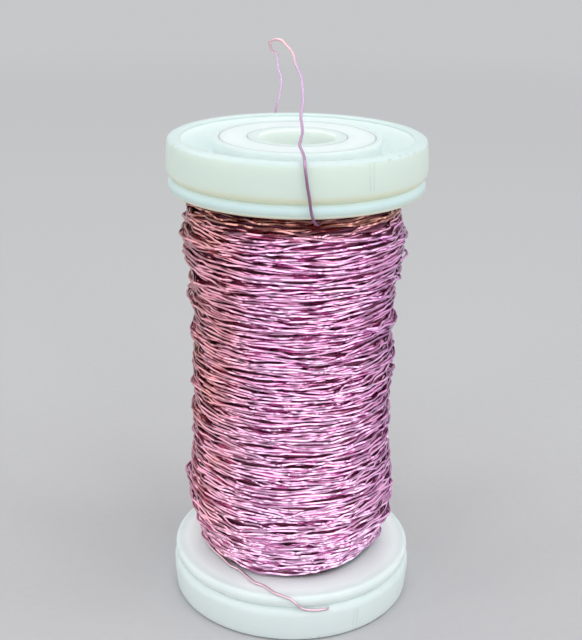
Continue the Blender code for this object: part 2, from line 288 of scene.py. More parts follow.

# The wound wire is pink, with painted light and shade: a painted shade that dulls it left of the middle,
# painted light that makes it paler low down, a patchy copper-coloured painted reflection at its left, a
# patchy violet painted reflection at its right, and a brown painted shade under the upper flange. Between its
# strands it is deeper, with painted shade.
PINKS = ((0.93, 0.575, 0.87), (0.89, 0.46, 0.76))
SIDE_SHADE_PINK = (0.67, 0.385, 0.60)
LOW_PINK = (0.80, 0.475, 0.73)
PAINTED_COOL_REFLECTION = (0.51, 0.235, 0.53)
PAINTED_WARM_REFLECTION = (0.76, 0.325, 0.32)
SHADE_BROWN = (0.50, 0.24, 0.20)
DEEP_PINK = (0.52, 0.17, 0.35)
DEEP_WARM = (0.40, 0.13, 0.11)
LOW_DEEP_PINK = (0.86, 0.44, 0.68)

# The free wire is painted with light and shade: dark painted shade at the front, brown painted shade where it
# leaves the upper flange's shade, paler with painted light as it rises and goes back, and a salmon painted
# reflection at the top.
LEAD_FRONT = (0.32, 0.16, 0.28)
LEAD_MIDDLE = (0.62, 0.445, 0.65)
LEAD_BACK = (1.0, 0.66, 0.94)
LEAD_TOP = (0.82, 0.54, 0.58)
LEAD_START = (0.46, 0.22, 0.19)
TAIL = (0.76, 0.55, 0.62)

# Where the wire's colours set in: the coordinates, in the order of its name, between which each grows.
SIDE_SHADE_X = (-0.0010, -0.0055)
WARM_REFLECTION_X = (-0.0038, -0.0094)
COOL_REFLECTION_X = (0.0050, 0.0110)
LOW_Z = (0.030, 0.010)
SHADE_Z = (0.0485, 0.0499)
LEAD_RISE_Z = (0.0560, 0.0640)
LEAD_RISE_Y = (-0.004, 0.002)
LEAD_BACK_Y = (0.0005, 0.0030)
LEAD_TOP_Z = (0.0655, 0.0675)
LEAD_START_Z = (0.0530, 0.0513)
LEAD_START_Y = (-0.0138, -0.0126)
LEAD_Z = (0.0200, 0.0210)
TAIL_Z = (0.0200, 0.0190)

# Wire deep in the winding, painted dark as shade, and the floor's card.
DEEP_SHADE_WIRES = ((0.16, 0.035, 0.08), (0.30, 0.08, 0.15))
CARDS = ((0.45, 0.45, 0.46), (0.48, 0.48, 0.49))

# The photograph's view: where it was taken from, its angles in degrees, and its focal length in pixels.
CAMERA_PLACE = (0.0, -0.13023, 0.08360)
CAMERA_PITCH = 20.334
CAMERA_YAW = -0.193
CAMERA_ROLL = 0.798
FOCAL_LENGTH_PX = 1152.7
PHOTO_HEIGHT_PX = 640
SENSOR_MM = 36.0

# Light panels round the front, as azimuths from the front and radiances, and larger lights at the sides and
# the back, as a name, azimuth, elevation, width, height and radiance.
LIGHT_DISTANCE = 0.60
PANELS = ((-65.0, 1.82), (-35.0, 1.72), (-5.0, 1.80), (25.0, 1.90), (54.0, 2.00), (80.0, 1.85))
PANEL_ELEVATION = 37.0
PANEL_WIDTH = 0.15
PANEL_HEIGHT = 1.00
LARGE_LIGHTS = (
    ("left_light", -105.0, 35.0, 0.45, 0.70, 0.85),
    ("right_light", 118.0, 35.0, 0.45, 0.70, 0.65),
    ("back_light", 190.0, 50.0, 0.45, 0.35, 1.6),
)

# Light from all round, the colour of the backdrop, and how far out the floor fades into it.
SKY_LIGHT = (0.323, 0.330, 0.340)
BACKDROP = (0.570, 0.575, 0.585)
FLOOR_SIZE = 6.0
FLOOR_FADE = (0.12, 0.55)

# How finely round shapes are divided.
AROUND = 192
ROUND_STEPS = 6
CURVE_STEPS = 9
BAND_STEPS = 13


# ---------------------------------------------------------------- camera, light and floor


def make_camera():
    """The photograph's view."""
    pitch, yaw, roll = (math.radians(angle) for angle in (CAMERA_PITCH, CAMERA_YAW, CAMERA_ROLL))
    forward = Vector((math.sin(yaw) * math.cos(pitch), math.cos(yaw) * math.cos(pitch), -math.sin(pitch)))
    level = Vector((math.cos(yaw), -math.sin(yaw), 0.0))
    upright = level.cross(forward)
    right = math.cos(roll) * level + math.sin(roll) * upright
    up = -math.sin(roll) * level + math.cos(roll) * upright
    data = bpy.data.cameras.new("camera")
    data.lens = FOCAL_LENGTH_PX / PHOTO_HEIGHT_PX * SENSOR_MM
    data.sensor_width = SENSOR_MM
    data.clip_start = 0.01
    data.clip_end = 10.0
    camera = bpy.data.objects.new("camera", data)
    turn = Matrix((right, up, -forward)).transposed().to_4x4()
    camera.matrix_world = Matrix.Translation(CAMERA_PLACE) @ turn
    bpy.context.scene.collection.objects.link(camera)
    bpy.context.scene.camera = camera


def make_softbox(name, azimuth, elevation, width, height, radiance):
    """A soft panel that faces the spool from so many degrees to the right of its front, and upward."""
    middle = Vector((0.0, 0.0, SPOOL_HEIGHT / 2))
    turn, rise = math.radians(azimuth), math.radians(elevation)
    outward = Vector((math.sin(turn) * math.cos(rise), -math.cos(turn) * math.cos(rise), math.sin(rise)))
    data = bpy.data.lights.new(name, "AREA")
    data.shape = "RECTANGLE"
    data.size = width
    data.size_y = height
    data.energy = radiance * math.pi * width * height
    lamp = bpy.data.objects.new(name, data)
    lamp.location = middle + outward * LIGHT_DISTANCE
    lamp.rotation_euler = outward.to_track_quat("Z", "Y").to_euler()
    bpy.context.scene.collection.objects.link(lamp)


def seen_rays(made):
    """One where a camera, glossy or transmission ray looks, and zero for the rays that only carry light."""
    path = made.add("ShaderNodeLightPath")
    seen = made.math("MAXIMUM", path.outputs["Is Camera Ray"], path.outputs["Is Glossy Ray"])
    return made.math("MAXIMUM", seen, path.outputs["Is Transmission Ray"])


def make_world():
    """Soft light from all round, which is seen as the pale backdrop."""
    world = bpy.data.worlds.new("studio")
    world.use_nodes = True
    made = Nodes(world.node_tree)
    color = made.blend(seen_rays(made), SKY_LIGHT, BACKDROP)
    made.link(color, made.tree.nodes["Background"].inputs["Color"])
    bpy.context.scene.world = world


def make_studio():
    """Panels that the wire mirrors as upright bands of light, larger lights round them, and the backdrop."""
    for number, (azimuth, radiance) in enumerate(PANELS, 1):
        make_softbox(f"panel_{number}", azimuth, PANEL_ELEVATION, PANEL_WIDTH, PANEL_HEIGHT, radiance)
    for light in LARGE_LIGHTS:
        make_softbox(*light)
    make_world()
    bpy.context.scene.view_settings.view_transform = "Standard"


# ---------------------------------------------------------------- materials


class Nodes:
    """Short ways to add and join the nodes of a world or a material."""

    def __init__(self, tree):
        self.tree = tree

    def add(self, kind, **settings):
        node = self.tree.nodes.new(kind)
        for key, value in settings.items():
            setattr(node, key, value)
        return node

    def link(self, output, socket):
        self.tree.links.new(output, socket)

    def place(self):
        """The point on the surface, in the object's own frame."""
        return self.add("ShaderNodeTexCoord").outputs["Object"]

    def noise(self, scale, detail=3.0, roughness=0.55, place=None):
        node = self.add("ShaderNodeTexNoise")
        node.inputs["Scale"].default_value = scale
        node.inputs["Detail"].default_value = detail
        node.inputs["Roughness"].default_value = roughness
        self.link(place or self.place(), node.inputs["Vector"])
        return node.outputs["Fac"]

    def attribute(self, name):
        return self.add("ShaderNodeAttribute", attribute_name=name).outputs["Fac"]

    def math(self, operation, first, second):
        node = self.add("ShaderNodeMath", operation=operation)
        for socket, value in zip(node.inputs, (first, second)):
            if isinstance(value, (int, float)):
                socket.default_value = value
            else:
                self.link(value, socket)
        return node.outputs["Value"]

    def product(self, first, *others):
        for other in others:
            first = self.math("MULTIPLY", first, other)
        return first

    def span(self, value, low, high, to_low=0.0, to_high=1.0):
        """The value's share of the way from low to high, clamped, and laid on another range."""
        node = self.add("ShaderNodeMapRange")
        node.clamp = True
        self.link(value, node.inputs["Value"])
        for key, number in (("From Min", low), ("From Max", high), ("To Min", to_low), ("To Max", to_high)):
            node.inputs[key].default_value = number
        return node.outputs["Result"]

    def fading(self, share, least):
        """One where a share is zero, down to the least value where it is one."""
        return self.span(share, 0.0, 1.0, 1.0, least)

    def blend(self, share, first, second):
        """A colour between two, each a colour or an output."""
        node = self.add("ShaderNodeMix", data_type="RGBA")
        self.link(share, node.inputs["Factor"])
        for socket, value in ((node.inputs[6], first), (node.inputs[7], second)):
            if isinstance(value, tuple):
                socket.default_value = (*value, 1.0)
            else:
                self.link(value, socket)
        return node.outputs[2]

    def ramp(self, value, colors):
        """A colour read from evenly spaced ones."""
        node = self.add("ShaderNodeValToRGB")
        stops = node.color_ramp.elements
        while len(stops) < len(colors):
            stops.new(0.5)
        for i, color in enumerate(colors):
            stops[i].position = i / (len(colors) - 1)
            stops[i].color = (*color, 1.0)
        self.link(value, node.inputs["Fac"])
        return node.outputs["Color"]


class Surface(Nodes):
    """A new material, with its shader."""

    def __init__(self, name):
        self.material = bpy.data.materials.new(name)
        self.material.use_nodes = True
        super().__init__(self.material.node_tree)
        self.shader = self.tree.nodes["Principled BSDF"]

    def bump(self, height, strength, distance):
        node = self.add("ShaderNodeBump")
        node.inputs["Strength"].default_value = strength
        node.inputs["Distance"].default_value = distance
        self.link(height, node.inputs["Height"])
        self.link(node.outputs["Normal"], self.shader.inputs["Normal"])


def plastic(name, tints, seed):
    """Natural polypropylene: milky, a little see-through, with painted shade and highlights in its tints, a
    warm painted shade in its grooves, worn at the rims' edges.
    """
    made = Surface(name)
    shader = made.shader
    shifted = made.add("ShaderNodeVectorMath", operation="ADD")
    made.link(made.place(), shifted.inputs[0])
    shifted.inputs[1].default_value = (seed, seed * 0.7, seed * 0.3)
    place = shifted.outputs["Vector"]
    cloud = made.noise(150.0, 2.0, place=place)
    tint = made.math("ADD", made.attribute("tint"), made.span(cloud, 0.45, 0.75, 0.0, 0.06))
    color = made.ramp(made.math("DIVIDE", tint, TINT_STEP * (len(tints) - 1)), tints)
    nicks = made.noise(1500.0, 3.0, 0.6, place)
    worn = made.product(made.span(nicks, 0.54, 0.64), made.attribute("edge"))
    parting = made.product(made.attribute("mark"), PARTING_SHADE)
    marks = made.math("MAXIMUM", parting, made.product(worn, WORN_SHADE))
    made.link(made.blend(marks, color, MARK_COLOR), shader.inputs["Base Color"])
    smear = made.noise(420.0, 4.0, 0.6, place)
    made.link(made.span(smear, 0.3, 0.7, 0.30, 0.44), shader.inputs["Roughness"])
    shader.inputs["Subsurface Weight"].default_value = 0.60
    shader.inputs["Subsurface Radius"].default_value = (1.0, 1.0, 0.85)
    shader.inputs["Subsurface Scale"].default_value = 0.0017
    shader.inputs["IOR"].default_value = 1.49
    shader.inputs["Specular IOR Level"].default_value = 0.42
    grain = made.noise(2600.0, 2.0, 0.5, place)
    made.bump(made.math("SUBTRACT", grain, made.product(worn, 3.0)), 0.10, 0.00004)
    return made.material


def wound_color(made, x, z, patches):
    """The colour of the wound wire, by place, by strand and by how deep it lies between its neighbours, with
    painted reflections at its sides, painted light low down, and painted shade left of the middle, under the
    upper flange and between the strands.
    """
    low = made.span(z, *LOW_Z)
    shade = made.span(z, *SHADE_Z)
    # A patchy copper-coloured painted reflection at the left, joined by the brown painted shade under the
    # upper flange.
    warm_reflection_patches = made.span(patches, 0.35, 0.65, 0.55, 1.0)
    warm_reflection_and_shade = made.product(made.span(x, *WARM_REFLECTION_X), warm_reflection_patches, made.fading(low, 0.8))
    warm_reflection_and_shade = made.math("MAXIMUM", warm_reflection_and_shade, shade)
    # A patchy violet painted reflection at the right.
    cool_reflection_patches = made.span(patches, 0.40, 0.70, 0.9, 0.3)
    cool_reflection = made.product(made.span(x, *COOL_REFLECTION_X), cool_reflection_patches, made.fading(low, 0.4))
    color = made.blend(made.attribute("tone"), *PINKS)
    # Painted shade left of the middle, then painted light low down.
    color = made.blend(made.span(x, *SIDE_SHADE_X), color, SIDE_SHADE_PINK)
    color = made.blend(low, color, LOW_PINK)
    color = made.blend(cool_reflection, color, PAINTED_COOL_REFLECTION)
    color = made.blend(warm_reflection_and_shade, color, made.blend(shade, PAINTED_WARM_REFLECTION, SHADE_BROWN))
    # Painted shade between the strands, lighter low down, by how deep each side lies.
    deep = made.blend(low, made.blend(warm_reflection_and_shade, DEEP_PINK, DEEP_WARM), LOW_DEEP_PINK)
    return made.blend(made.product(made.attribute("painted_shade"), made.fading(low, 0.65)), color, deep)


def free_color(made, y, z):
    """The colour of the lead along its way up, over and back, with its painted shade, light and reflection,
    and of the tail.
    """
    rise = made.math("MAXIMUM", made.span(z, *LEAD_RISE_Z), made.span(y, *LEAD_RISE_Y))
    color = made.blend(rise, LEAD_FRONT, LEAD_MIDDLE)
    color = made.blend(made.span(y, *LEAD_BACK_Y), color, LEAD_BACK)
    color = made.blend(made.span(z, *LEAD_TOP_Z), color, LEAD_TOP)
    color = made.blend(made.span(z, *TAIL_Z), color, TAIL)
    start = made.product(made.span(z, *LEAD_START_Z), made.span(y, *LEAD_START_Y), made.span(z, *LEAD_Z))
    return made.blend(start, color, LEAD_START)


def wire_material():
    """Copper wire in a glossy pink enamel, smoother where it is wound."""
    made = Surface("pink_enamelled_wire")
    shader = made.shader
    place = made.place()
    split = made.add("ShaderNodeSeparateXYZ")
    made.link(place, split.inputs["Vector"])
    x, y, z = split.outputs
    wound = made.attribute("wound")
    patches = made.noise(260.0, 2.0, 0.5, place)
    color = made.blend(wound, free_color(made, y, z), wound_color(made, x, z, patches))
    made.link(color, shader.inputs["Base Color"])
    shader.inputs["Metallic"].default_value = 1.0
    streak = made.noise(1800.0, 2.0, 0.6, place)
    roughness = made.math("SUBTRACT", made.span(streak, 0.3, 0.7, 0.34, 0.42), made.product(wound, 0.18))
    made.link(roughness, shader.inputs["Roughness"])
    shader.inputs["Coat Weight"].default_value = 0.4
    shader.inputs["Coat Roughness"].default_value = 0.10
    made.bump(streak, 0.15, 0.00003)
    return made.material


def shaded_wire_material():
    """The wire deep in the winding: dull, and painted dark as the shade between the layers."""
    made = Surface("wire_deep_in_the_winding")
    shader = made.shader
    patches = made.noise(700.0, 3.0)
    made.link(made.blend(patches, *DEEP_SHADE_WIRES), shader.inputs["Base Color"])
    made.link(made.span(patches, 0.3, 0.7, 0.40, 0.60), shader.inputs["Roughness"])
    shader.inputs["Metallic"].default_value = 0.7
    return made.material


def floor_material():
    """Pale grey card, which a camera sees fade into the backdrop."""
    made = Surface("pale_floor")
    shader = made.shader
    grain = made.noise(900.0, 3.0)
    length = made.add("ShaderNodeVectorMath", operation="LENGTH")
    made.link(made.place(), length.inputs[0])
    far = made.product(seen_rays(made), made.span(length.outputs["Value"], *FLOOR_FADE))
    made.link(made.blend(far, made.blend(grain, *CARDS), (0.0, 0.0, 0.0)), shader.inputs["Base Color"])
    shader.inputs["Roughness"].default_value = 0.85
    made.link(made.span(far, 0.0, 1.0, 0.5, 0.0), shader.inputs["Specular IOR Level"])
    shader.inputs["Emission Color"].default_value = (*BACKDROP, 1.0)
    made.link(far, shader.inputs["Emission Strength"])
    return made.material


def make_floor():
    """The floor that the spool stands on."""
    bpy.ops.mesh.primitive_plane_add(size=FLOOR_SIZE, location=(0.0, 0.0, 0.0))
    floor = bpy.context.object
    floor.name = "floor"
    floor.data.materials.append(floor_material())


# ---------------------------------------------------------------- meshes


def finish_piece(obj, material, nodes):
    """Gives a piece its material, its body and the nodes that it stands for."""
    obj.data.materials.clear()
    obj.data.materials.append(material)
    bpy.context.scene.collection.objects.link(obj)
    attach(obj, "root")
    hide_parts(*nodes)


def mesh_of(name, points, face_groups, attributes):
    """A smooth-shaded mesh from arrays of points and of faces, with each attribute's value at each point."""
    mesh = bpy.data.meshes.new(name)
    mesh.vertices.add(len(points))
    mesh.vertices.foreach_set("co", points.astype(np.float32).ravel())
    corners = np.concatenate([faces.ravel() for faces in face_groups]).astype(np.int32)
    sizes = np.concatenate([np.full(len(faces), faces.shape[1]) for faces in face_groups])
    mesh.loops.add(len(corners))
    mesh.loops.foreach_set("vertex_index", corners)
    mesh.polygons.add(len(sizes))
    mesh.polygons.foreach_set("loop_start", (np.cumsum(sizes) - sizes).astype(np.int32))
    mesh.update(calc_edges=True)
    for key, values in attributes.items():
        layer = mesh.attributes.new(key, "FLOAT", "POINT")
        layer.data.foreach_set("value", values.astype(np.float32))
    mesh.shade_smooth()
    return mesh


def rounded(corners, radius, steps=2):
    """A closed outline of (r, z, tint) with each corner cut back to a small arc."""
    outline = []
    count = len(corners)
    for i, (r, z, tint) in enumerate(corners):
        here = Vector((r, z))
        before = Vector(corners[i - 1][:2]) - here
        after = Vector(corners[(i + 1) % count][:2]) - here
        reach = min(radius, before.length / 2.5, after.length / 2.5)
        start = here + before.normalized() * reach
        end = here + after.normalized() * reach
        for t in np.linspace(0, 1, steps + 1):
            point = start * (1 - t) ** 2 + here * 2 * t * (1 - t) + end * t**2
            outline.append((point.x, point.y, tint))
    return outline


def arc(centre, radius, start, end, tint, steps=ROUND_STEPS):
    """Points of one tint along an arc between two angles in degrees."""
    angles = np.radians(np.linspace(start, end, steps + 1))
    return [(centre[0] + radius * math.cos(a), centre[1] + radius * math.sin(a), tint) for a in angles]


def azimuths():
    """Even steps round the axis, with extra ones at the edges of the parting marks."""
    steps = list(np.linspace(-180, 180, AROUND, endpoint=False))
    for base in (PARTING_AZIMUTH, PARTING_AZIMUTH + 180):
        for side in (-1, 1):
            for edge in (-1.5, -1.0, 0.0, 1.0, 1.5):
                offset = side * PARTING_HALF_WIDTH + edge * PARTING_MARK
                steps.append(base + math.degrees(offset / FLANGE_RADIUS))
    return np.radians(sorted(steps))


def parting_share(angles):
    """How far each azimuth lies in one of the parting marks, from 0 to 1."""
    share = np.zeros(len(angles))
    for base in (PARTING_AZIMUTH, PARTING_AZIMUTH + 180):
        around = (np.degrees(angles) - base + 180) % 360 - 180
        along = np.radians(around) * FLANGE_RADIUS
        for side in (-1, 1):
            distance = np.abs(along - side * PARTING_HALF_WIDTH)
            share = np.maximum(share, np.clip(1.5 - distance / PARTING_MARK, 0, 1))
    return share


def worn_share(angles):
    """How worn the rim's outer edge is at each azimuth, from 0 to 1."""
    share = np.zeros(len(angles))
    for azimuth, spread in WORN_PLACES:
        around = (np.degrees(angles) - azimuth + 180) % 360 - 180
        share = np.maximum(share, np.exp(-((around / spread) ** 4)))
    return share


def flange_marks(angles, radius, height):
    """How much of a parting mark, and of a scuff, lies at each point of a flange."""
    on_band = (radius > FLANGE_RADIUS - 1.5 * BAND_LEAN) & (height < BAND_HEIGHT)
    near_edge = np.clip(1 - np.abs(height - RIM_EDGE_DROP) / WORN_HEIGHT, 0, 1)
    near_edge = near_edge * (radius > FLANGE_RADIUS - WORN_DEPTH)
    return parting_share(angles)[:, None] * on_band, near_edge * worn_share(angles)[:, None]


def turned(name, outline, material, node, upside_down=False, parted=False, tints=TINTS):
    """A solid of revolution from a closed outline of (r, z, tint) points. A parted one has flange marks."""
    outline = np.array(outline)
    angles = azimuths() if parted else np.radians(np.linspace(-180, 180, AROUND, endpoint=False))
    radius, height, tint = (np.broadcast_to(outline[:, i], (len(angles), len(outline))) for i in range(3))
    mark = np.zeros_like(radius)
    edge = np.zeros_like(radius)
    if parted:
        mark, edge = flange_marks(angles, radius, height)
        radius = radius - PARTING_DEPTH * mark
    x = radius * np.cos(angles)[:, None]
    y = radius * np.sin(angles)[:, None]
    z = SPOOL_HEIGHT - height if upside_down else height
    points = np.stack([x, y, z], axis=2).reshape(-1, 3)
    index = np.arange(len(points)).reshape(radius.shape)
    beside = np.roll(index, -1, axis=0)
    corners = (index, np.roll(index, -1, axis=1), np.roll(beside, -1, axis=1), beside)
    faces = np.stack(corners, axis=2).reshape(-1, 4)
    if upside_down:
        faces = faces[:, ::-1]
    tint = np.interp(tint.ravel(), TINTS, tints)
    mesh = mesh_of(name, points, [faces], {"tint": tint, "mark": mark.ravel(), "edge": edge.ravel()})
    obj = bpy.data.objects.new(name, mesh)
    finish_piece(obj, material, [node])
    return obj


def bowed(start, end, tints, steps):
    """An arc that leaves its first point along the second axis, with three tints along it."""
    across = end[0] - start[0]
    along = end[1] - start[1]
    radius = (across**2 + along**2) / (2 * abs(across))
    points = []
    for angle in np.linspace(0, math.asin(abs(along) / radius), steps + 1):
        first = start[0] + math.copysign(radius * (1 - math.cos(angle)), across)
        second = start[1] + math.copysign(radius * math.sin(angle), along)
        share = abs(second - start[1]) / abs(along)
        points.append((first, second, float(np.interp(share, (0.0, 0.5, 1.0), tints))))
    return points


def bridged(before, corner, after):
    """Three points that round off a corner between the points at its two sides."""
    points = []
    for t in (0.25, 0.5, 0.75):
        shares = (1 - t) ** 2, 2 * t * (1 - t), t**2
        points.append(tuple(np.dot(shares, values) for values in zip(before, corner, after)))
    return points


def flange_outline():
    """The frame's flange with finer curves, from its inner face down its outer side and up in the cup."""
    bore = SPIGOT_RADIUS + FIT_GAP
    web_low = FLANGE_THICKNESS - WEB_THICKNESS
    rim_inner = FLANGE_RADIUS - RIM_WALL
    lip_root = (FLANGE_RADIUS - LIP_SETBACK, FLANGE_THICKNESS - LIP_EDGE_ROUND)
    lip_centre = (lip_root[0] - LIP_EDGE_ROUND, lip_root[1])
    groove = (FLANGE_RADIUS - GROOVE_DEPTH, BAND_HEIGHT + BAND_CURVE_HEIGHT)
    # Tints along the outline paint shade and highlight: tan painted shade on the lip's round edge by the
    # inner face and along the groove, darker painted shade at the lip's edge, a bluish painted highlight on
    # the lip, and the band a little darker toward its top.
    lip = bowed(lip_root, groove, (LIP_EDGE, LIP, LIP_FOOT), CURVE_STEPS)[1:]
    # The curve is drawn from the band to the groove, and the outline runs the other way.
    band_foot = bowed((FLANGE_RADIUS, BAND_HEIGHT), groove, (BAND, GROOVE_SIDE, GROOVE), CURVE_STEPS)[-2::-1]
    band_top = RIM_EDGE_DROP + RIM_BEAD_HEIGHT
    band_face = []
    for share in np.linspace(0, 1, BAND_STEPS + 1)[1:]:
        height = BAND_HEIGHT + (band_top - BAND_HEIGHT) * share
        band_face.append((FLANGE_RADIUS - BAND_LEAN * share**2, height, BAND - BAND_FADE * share))
    flat_start = rim_inner + RIM_INNER_ROUND
    flat_end = flat_start + RIM_FLAT_WIDTH
    rim_edge = (RIM_EDGE_DROP, FLANGE_RADIUS - RIM_EDGE_SETBACK)
    rim_curve = bowed((0.0, flat_end), rim_edge, (RIM, RIM, RIM_SIDE), ROUND_STEPS)
    rim_top = [(r, z, tint) for z, r, tint in reversed(rim_curve)]
    # Of the four corners only the two in the middle are rounded, with three points each.
    bead = rounded([*band_face[-2:], *rim_top[:2]], BEAD_ROUND)[3:9]
    return [
        *[(r, FLANGE_THICKNESS, INSIDE) for r in np.linspace(bore, lip_centre[0], 6)[:-1]],
        *arc(lip_centre, LIP_EDGE_ROUND, 90, 24, GROOVE, 5),
        *arc(lip_centre, LIP_EDGE_ROUND, 12, 0, LIP_EDGE, 1),
        *lip[:-1],
        *bridged(lip[-2], lip[-1], band_foot[0]),
        *band_foot,
        *band_face[:-1],
        *bead,
        *rim_top[1:],
        (flat_start, 0.0, RIM),
        *arc((flat_start, RIM_INNER_ROUND), RIM_INNER_ROUND, -112, -180, RIM_SIDE, 3),
        (rim_inner, RIM_INNER_ROUND + EDGE_LINE, INSIDE),
        (rim_inner, web_low / 2, INSIDE),
        *arc((rim_inner - WEB_FILLET, web_low - WEB_FILLET), WEB_FILLET, 0, 90, INSIDE, 4),
        (bore + EDGE_ROUND, web_low, INSIDE),
        (bore, web_low + EDGE_ROUND, INSIDE),
        (bore, FLANGE_THICKNESS - EDGE_ROUND, INSIDE),
    ]


def barrel_outline():
    """The barrel, with a step at each end for a flange outside and a hub plate inside."""
    low, high = END_INSET, SPOOL_HEIGHT - END_INSET
    shoulder_low = FLANGE_THICKNESS + FIT_GAP
    shoulder_high = SPOOL_HEIGHT - FLANGE_THICKNESS - FIT_GAP
    ledge_low = low + HUB_SKIRT_LENGTH + FIT_GAP
    ledge_high = high - HUB_SKIRT_LENGTH - FIT_GAP
    bore = COUNTERBORE_RADIUS - LEDGE_STEP
    corners = [
        (SPIGOT_RADIUS, high, END),
        (SPIGOT_RADIUS, high - EDGE_LINE, WALL),
        (SPIGOT_RADIUS, shoulder_high, WALL),
        (BARREL_RADIUS, shoulder_high, WALL),
        (BARREL_RADIUS, shoulder_low, WALL),
        (SPIGOT_RADIUS, shoulder_low, WALL),
        (SPIGOT_RADIUS, low + EDGE_LINE, WALL),
        (SPIGOT_RADIUS, low, END),
        (COUNTERBORE_RADIUS + EDGE_LINE, low, END),
        (COUNTERBORE_RADIUS, low, EDGE),
        (COUNTERBORE_RADIUS, ledge_low, WALL),
        (bore, ledge_low, WALL),
        (bore, ledge_high, WALL),
        (COUNTERBORE_RADIUS, ledge_high, WALL),
        (COUNTERBORE_RADIUS, high, EDGE),
        (COUNTERBORE_RADIUS + EDGE_LINE, high, END),
    ]
    return rounded(corners, EDGE_ROUND)


def hub_outline():
    """A hub plate, with its skirt in the barrel and its boss on the spindle tube."""
    low = END_INSET
    plate = low + HUB_PLATE_THICKNESS
    boss_end = low + HUB_BOSS_LENGTH
    skirt_end = low + HUB_SKIRT_LENGTH
    corners = [
        (HUB_OUTER_RADIUS, skirt_end, INSIDE),
        (HUB_OUTER_RADIUS, low, EDGE),
        (HUB_OUTER_RADIUS - EDGE_LINE, low, HUB_FACE),
        (HUB_INNER_RADIUS + EDGE_LINE, low, HUB_FACE),
        (HUB_INNER_RADIUS, low, EDGE),
        (HUB_INNER_RADIUS, boss_end, INSIDE),
        (HUB_INNER_RADIUS + HUB_WALL, boss_end, INSIDE),
        (HUB_INNER_RADIUS + HUB_WALL, plate, INSIDE),
        (HUB_OUTER_RADIUS - HUB_WALL, plate, INSIDE),
        (HUB_OUTER_RADIUS - HUB_WALL, skirt_end, INSIDE),
    ]
    return rounded(corners, EDGE_ROUND)


def spindle_tube_outline():
    """The spindle tube, with a chamfer at both ends of its bore."""
    low, high = END_INSET, SPOOL_HEIGHT - END_INSET
    corners = [
        (SPINDLE_TUBE_RADIUS, high, EDGE),
        (SPINDLE_TUBE_RADIUS, low, EDGE),
        (SPINDLE_TUBE_RADIUS - EDGE_LINE, low, END),
        (SPINDLE_BORE_RADIUS + BORE_CHAMFER, low, END),
        (SPINDLE_BORE_RADIUS, low + BORE_CHAMFER, BORE),
        (SPINDLE_BORE_RADIUS, high - BORE_CHAMFER, BORE),
        (SPINDLE_BORE_RADIUS + BORE_CHAMFER, high, END),
        (SPINDLE_TUBE_RADIUS - EDGE_LINE, high, END),
    ]
    return rounded(corners, EDGE_ROUND)


# ---------------------------------------------------------------- wound wire


def winding_radius(z):
    """The outer radius of the wound wire at each height."""
    above = z - WINDING_LOW
    below = WINDING_HIGH - z
    depth = WINDING_DEPTH + LOWER_BULGE * np.exp(-(((above - LOWER_BULGE_TO_FLANGE) / BULGE_SPREAD) ** 2))
    depth = depth + UPPER_BULGE * np.exp(-(((below - UPPER_BULGE_TO_FLANGE) / BULGE_SPREAD) ** 2))
    depth = depth * rounded_in(above, FOOT_ROUND_HEIGHT)
    depth = TOP_DEPTH + (depth - TOP_DEPTH) * rounded_in(below, TOP_ROUND_HEIGHT)
    return BARREL_RADIUS + depth


def foot_rise(angle, z):
    """How much higher the wire lies near its foot, where the first turns don't reach the flange."""
    around = (np.degrees(angle) - FOOT_RISE_AZIMUTH + 180) % 360 - 180
    return FOOT_RISE * np.exp(-((around / FOOT_RISE_SPREAD) ** 2) - (z - WINDING_LOW) / FOOT_RISE_FADE)


def rounded_in(distance, height):
    """A quarter ellipse, from zero at no distance to one at the height and beyond."""
    share = np.clip(distance / height, 0.0, 1.0)
    return np.sqrt(1 - (1 - share) ** 2)


def shared_wander(random, angle, z):
    """A smooth shift that neighbouring turns share, from waves round the axis and along it."""
    total = np.zeros(len(z))
    for _ in range(WANDER_WAVES):
        around = random.integers(0, SHARED_WAVES_AROUND)
        rate = math.tau / random.uniform(*SHARED_WAVE_LENGTHS) * random.choice((-1, 1))
        phase = math.tau * random.random()
        total += math.sqrt(2 / WANDER_WAVES) * np.sin(around * angle + rate * z + phase)
    return SHARED_WANDER * total


def wander(random, turns, waves_per_turn, size):
    """A smooth random value along the wire, from waves between two rates."""
    total = np.zeros(len(turns))
    for _ in range(WANDER_WAVES):
        rate = random.uniform(*waves_per_turn)
        total += math.sqrt(2 / WANDER_WAVES) * np.sin(math.tau * (rate * turns + random.random()))
    return size * total


def kinks(random, length):
    """The places of the wire's kinks along it, and how far each sways up and lifts out."""
    count = int(length / KINK_SPACING) + 2
    places = np.cumsum(random.uniform(*KINK_SPACING_SHARES, count) * KINK_SPACING)
    sway = random.normal(0.0, KINK_SWAY, count)
    lift = random.normal(0.0, KINK_LIFT, count)
    return places, sway, lift


def layer_turns(index):
    """The heights between which a layer winds. The inner layers stop short where the winding draws in."""
    depth = WIRE_RADIUS + LAYER_DEPTH * index
    heights = np.arange(WINDING_LOW + WIRE_DIAMETER, WINDING_HIGH - WIRE_DIAMETER, ROW_HEIGHT)
    room = heights[winding_radius(heights) - depth > BARREL_RADIUS + WIRE_RADIUS]
    return room[0], room[-1]


